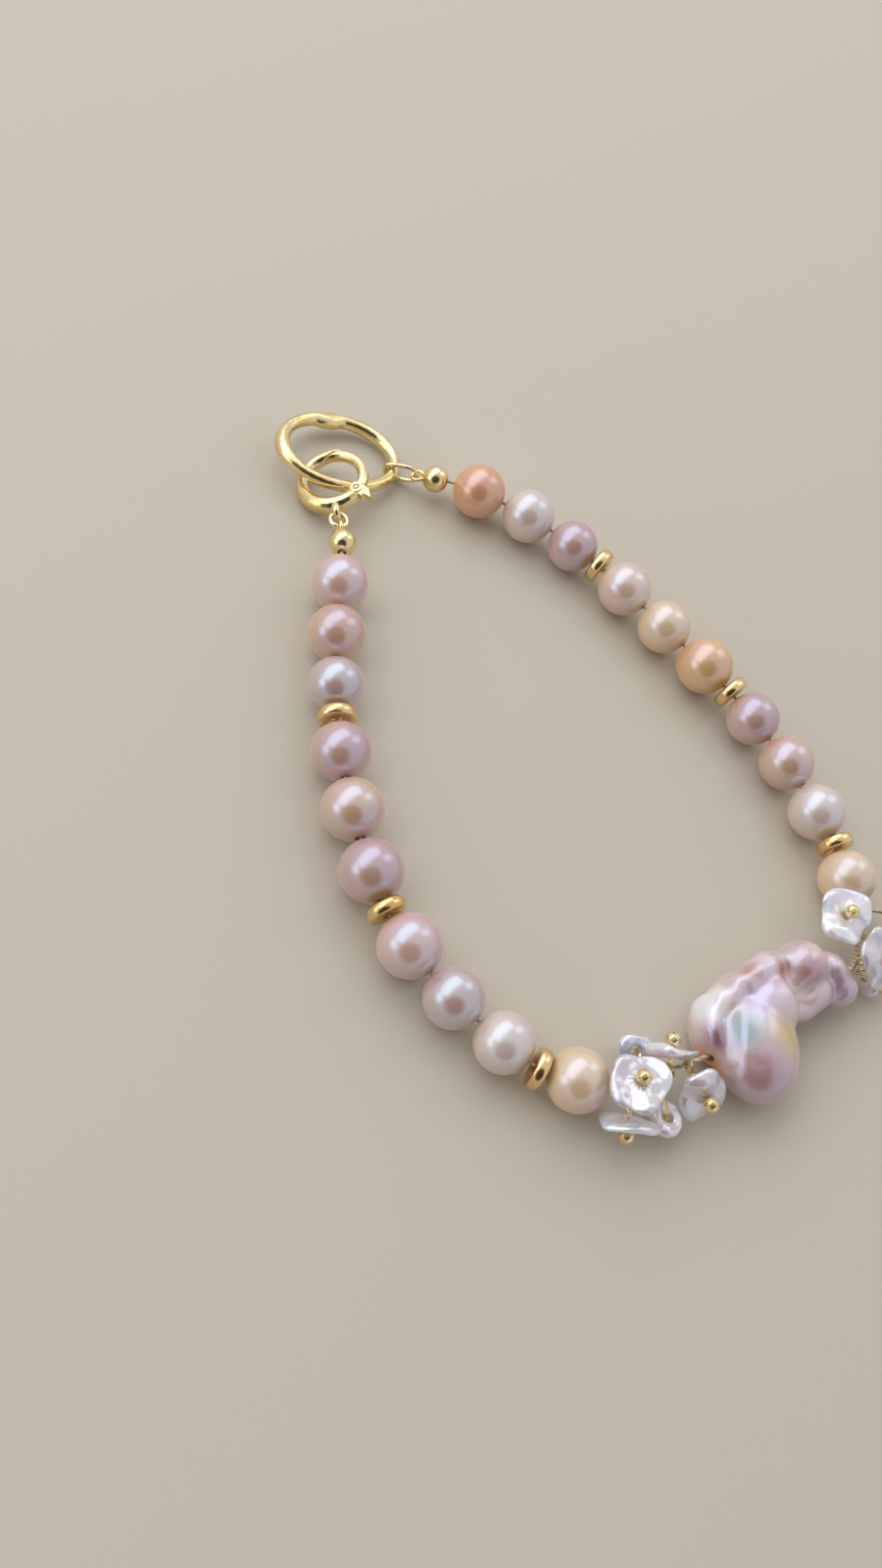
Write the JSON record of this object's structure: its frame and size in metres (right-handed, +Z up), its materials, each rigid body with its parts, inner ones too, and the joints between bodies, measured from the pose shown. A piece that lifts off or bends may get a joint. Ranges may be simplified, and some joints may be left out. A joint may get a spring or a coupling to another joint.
{
  "type": "pearl bracelet",
  "caption": "Pearl bracelet with gold rondelles, a baroque pearl between clusters of keshi petals, and a round trigger clasp on an oval ring.",
  "frame": {"origin": "middle of the bracelet's outline, on the surface that it lies on", "axes": "+Z up, +Y from the baroque pearl to the clasp, along the bracelet's longest side"},
  "size_m": [0.0568, 0.093, 0.0085],
  "materials": {
    "pearl_left_1": "pearl lustre",
    "pearl_left_2": "pearl lustre",
    "pearl_left_3": "pearl lustre",
    "pearl_left_4": "pearl lustre",
    "pearl_left_5": "pearl lustre",
    "pearl_left_6": "pearl lustre",
    "pearl_left_7": "pearl lustre",
    "pearl_left_8": "pearl lustre",
    "pearl_left_9": "pearl lustre",
    "pearl_left_10": "pearl lustre",
    "pearl_right_1": "pearl lustre",
    "pearl_right_2": "pearl lustre",
    "pearl_right_3": "pearl lustre",
    "pearl_right_4": "pearl lustre",
    "pearl_right_5": "pearl lustre",
    "pearl_right_6": "pearl lustre",
    "pearl_right_7": "pearl lustre",
    "pearl_right_8": "pearl lustre",
    "pearl_right_9": "pearl lustre",
    "pearl_right_10": "pearl lustre",
    "baroque_pearl": "pearl lustre",
    "petals": "pearl lustre",
    "gold": "polished gold plate",
    "deep_gold": "polished gold plate",
    "thread": "twisted silk"
  },
  "bodies": {
    "bracelet": {"clasp_body": "gold", "clasp_pin": "gold", "clasp_ring": "gold", "jump_ring_left": "gold", "jump_ring_right": "gold", "pearl_left_1": "pearl_left_1", "pearl_left_2": "pearl_left_2", "pearl_left_3": "pearl_left_3", "rondelle_left_1": "deep_gold", "pearl_left_4": "pearl_left_4", "pearl_left_5": "pearl_left_5", "pearl_left_6": "pearl_left_6", "rondelle_left_2": "deep_gold", "pearl_left_7": "pearl_left_7", "pearl_left_8": "pearl_left_8", "pearl_left_9": "pearl_left_9", "rondelle_left_3": "deep_gold", "pearl_left_10": "pearl_left_10", "pearl_right_1": "pearl_right_1", "pearl_right_2": "pearl_right_2", "pearl_right_3": "pearl_right_3", "rondelle_right_1": "deep_gold", "pearl_right_4": "pearl_right_4", "pearl_right_5": "pearl_right_5", "pearl_right_6": "pearl_right_6", "rondelle_right_2": "deep_gold", "pearl_right_7": "pearl_right_7", "pearl_right_8": "pearl_right_8", "pearl_right_9": "pearl_right_9", "rondelle_right_3": "deep_gold", "pearl_right_10": "pearl_right_10", "end_bead_left": "gold", "end_bead_right": "gold", "thread": "thread", "baroque_pearl": "baroque_pearl", "petal_left_1": "petals", "pin_left_1": "deep_gold", "petal_left_2": "petals", "pin_left_2": "deep_gold", "petal_left_3": "petals", "pin_left_3": "deep_gold", "petal_left_4": "petals", "pin_left_4": "deep_gold", "petal_left_5": "petals", "pin_left_5": "deep_gold", "petal_left_6": "petals", "pin_left_6": "deep_gold", "petal_right_1": "petals", "pin_right_1": "deep_gold", "petal_right_2": "petals", "pin_right_2": "deep_gold", "petal_right_3": "petals", "pin_right_3": "deep_gold", "petal_right_4": "petals", "pin_right_4": "deep_gold", "petal_right_5": "petals", "pin_right_5": "deep_gold"},
    "lever": {"clasp_lever": "gold"}
  },
  "joints": [
    {"name": "clasp_hinge", "type": "hinge", "parent": "bracelet", "child": "lever", "pos_m": [-0.00067, 0.03365, 0.00366], "axis": [-0.3758, 0.2258, 0.8988], "range_deg": [0, 24], "stiffness_Nm_per_rad": 0.002, "springref_deg": -8.59}
  ]
}
